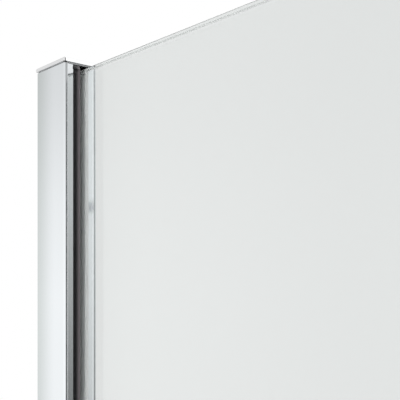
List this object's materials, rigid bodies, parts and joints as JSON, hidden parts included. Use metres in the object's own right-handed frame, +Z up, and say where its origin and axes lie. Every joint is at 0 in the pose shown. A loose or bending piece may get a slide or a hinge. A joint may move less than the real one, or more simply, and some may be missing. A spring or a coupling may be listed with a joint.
{
  "type": "walk-in shower screen",
  "caption": "Fixed glass shower screen with a telescoping polished wall profile, flat top cap, black gasket and a swivelling support bar.",
  "frame": {"origin": "the foot of the wall channel's back face, on the middle plane of the glass, where wall and tray meet", "axes": "+X from the wall along the glass, +Y through the glass to the wet side and along the support bar, +Z up"},
  "size_m": [0.9, 1.014, 1.9721],
  "materials": {
    "polished_aluminium": "bright polished and anodised",
    "cap_chrome": "chrome-plated plastic",
    "bright_chrome": "chrome-plated metal",
    "stainless_steel": "plain stainless",
    "clear_glass": "clear toughened, polished edges",
    "clear_vinyl": "clear soft vinyl",
    "black_rubber": "satin black rubber",
    "grey_plastic": "moulded grey plastic",
    "nylon": "natural nylon"
  },
  "bodies": {
    "wall_frame": {"wall_channel": "polished_aluminium", "top_cap": "cap_chrome", "adjuster_screws": "stainless_steel", "adjuster_nuts": "stainless_steel", "adjuster_covers": "cap_chrome"},
    "glass_panel": {"glass_profile": "polished_aluminium", "glass_sheet": "clear_glass", "front_gasket": "black_rubber", "rear_packing": "clear_vinyl", "edge_pads": "black_rubber", "setting_block": "black_rubber", "profile_foot": "grey_plastic", "bottom_seal": "clear_vinyl"},
    "glass_clamp": {"clamp_body": "bright_chrome", "clamp_liner": "clear_vinyl", "pressure_plate": "stainless_steel", "clamp_grub_screws": "stainless_steel"},
    "bar_arm": {"glass_end_fork": "bright_chrome", "wall_end_fork": "bright_chrome", "support_bar": "bright_chrome", "fork_grub_screws": "stainless_steel", "glass_end_pin": "stainless_steel", "wall_end_pin": "stainless_steel", "swivel_washers": "nylon"},
    "bar_bracket": {"wall_bracket": "bright_chrome"}
  },
  "joints": [
    {"name": "width_adjustment", "type": "slide", "parent": "wall_frame", "child": "glass_panel", "axis": [1, 0, 0], "range_m": [0, 0.012]},
    {"name": "clamp_position", "type": "slide", "parent": "glass_panel", "child": "glass_clamp", "axis": [1, 0, 0], "range_m": [-0.3, 0.07]},
    {"name": "bar_swivel", "type": "hinge", "parent": "glass_clamp", "child": "bar_arm", "pos_m": [0.8, 0.025, 1.9411], "axis": [0, 0, 1], "range_deg": [-60, 60]},
    {"name": "bracket_swivel", "type": "hinge", "parent": "bar_arm", "child": "bar_bracket", "pos_m": [0.8, 0.983, 1.9411], "axis": [0, 0, 1], "range_deg": [-60, 60]}
  ]
}
